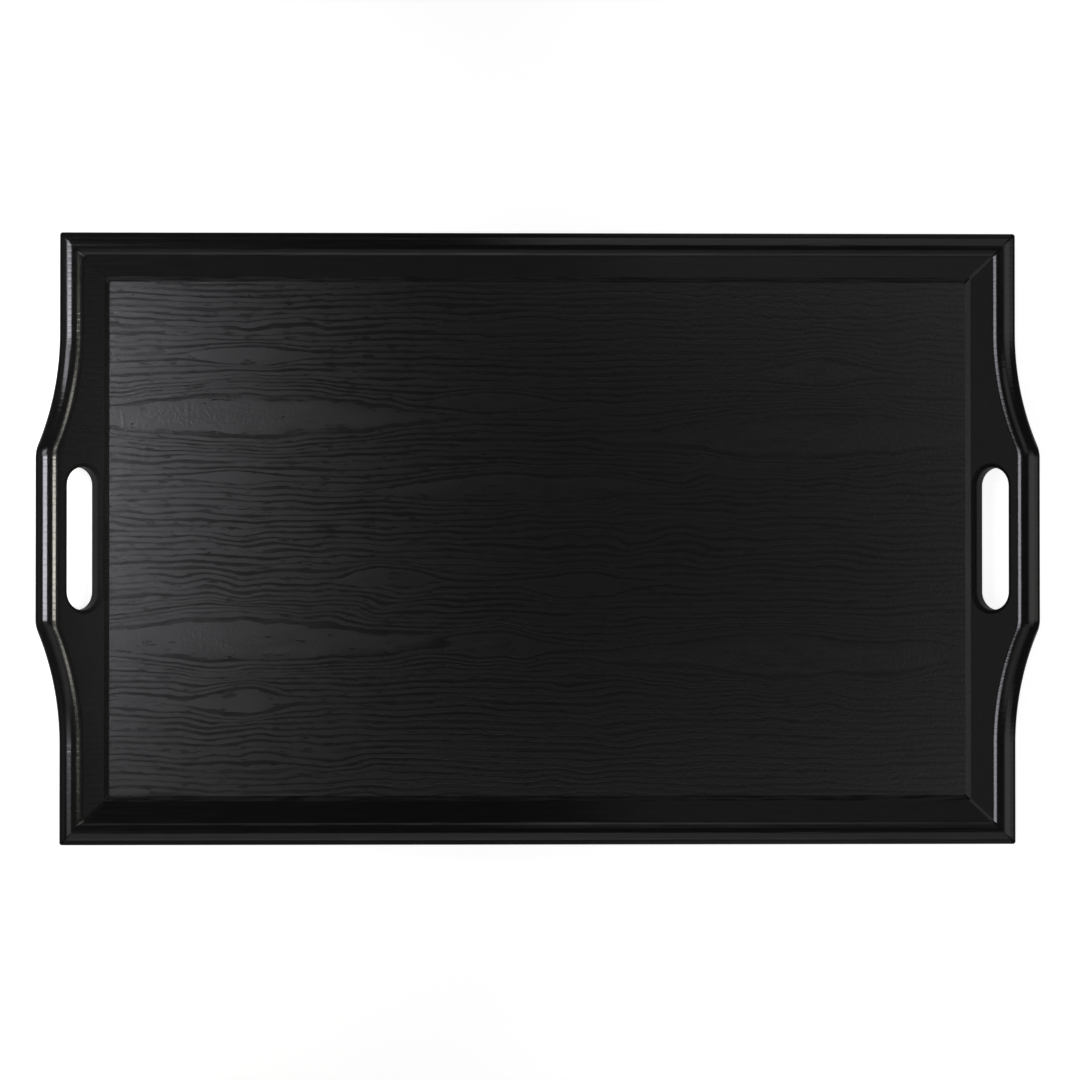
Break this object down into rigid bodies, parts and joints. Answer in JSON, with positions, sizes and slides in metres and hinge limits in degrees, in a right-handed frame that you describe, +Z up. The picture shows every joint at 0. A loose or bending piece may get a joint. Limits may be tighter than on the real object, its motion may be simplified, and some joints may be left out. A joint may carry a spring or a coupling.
{
  "type": "room service tray",
  "caption": "Rectangular black wooden serving tray with flared, mitred rails, raised end handles with hand slots and a veneered panel let into the rails.",
  "frame": {"origin": "on the table, under the middle of the tray", "axes": "+X along the length towards the right handle, +Y across towards the rear rail, +Z up"},
  "size_m": [0.6646, 0.4064, 0.0398],
  "materials": {
    "black_veneer": "satin black lacquer over open wood grain",
    "black_lacquer": "satin black lacquer over wood",
    "plywood": "bare plywood",
    "beech": "bare beech",
    "steel": "bright drawn wire",
    "rubber": "matte moulded rubber"
  },
  "bodies": {
    "root": {"face_veneer": "black_veneer", "panel_core": "plywood", "backing_veneer": "black_veneer", "front_rail": "black_lacquer", "rear_rail": "black_lacquer", "left_handle_rail": "black_lacquer", "right_handle_rail": "black_lacquer", "spline_front_left": "beech", "spline_front_right": "beech", "spline_rear_left": "beech", "spline_rear_right": "beech", "pin_front_left_lower": "steel", "pin_front_left_upper": "steel", "pin_front_right_lower": "steel", "pin_front_right_upper": "steel", "pin_rear_left_lower": "steel", "pin_rear_left_upper": "steel", "pin_rear_right_lower": "steel", "pin_rear_right_upper": "steel", "foot_front_left": "rubber", "foot_front_right": "rubber", "foot_rear_left": "rubber", "foot_rear_right": "rubber", "tack_front_left": "steel", "tack_front_right": "steel", "tack_rear_left": "steel", "tack_rear_right": "steel"}
  },
  "joints": []
}
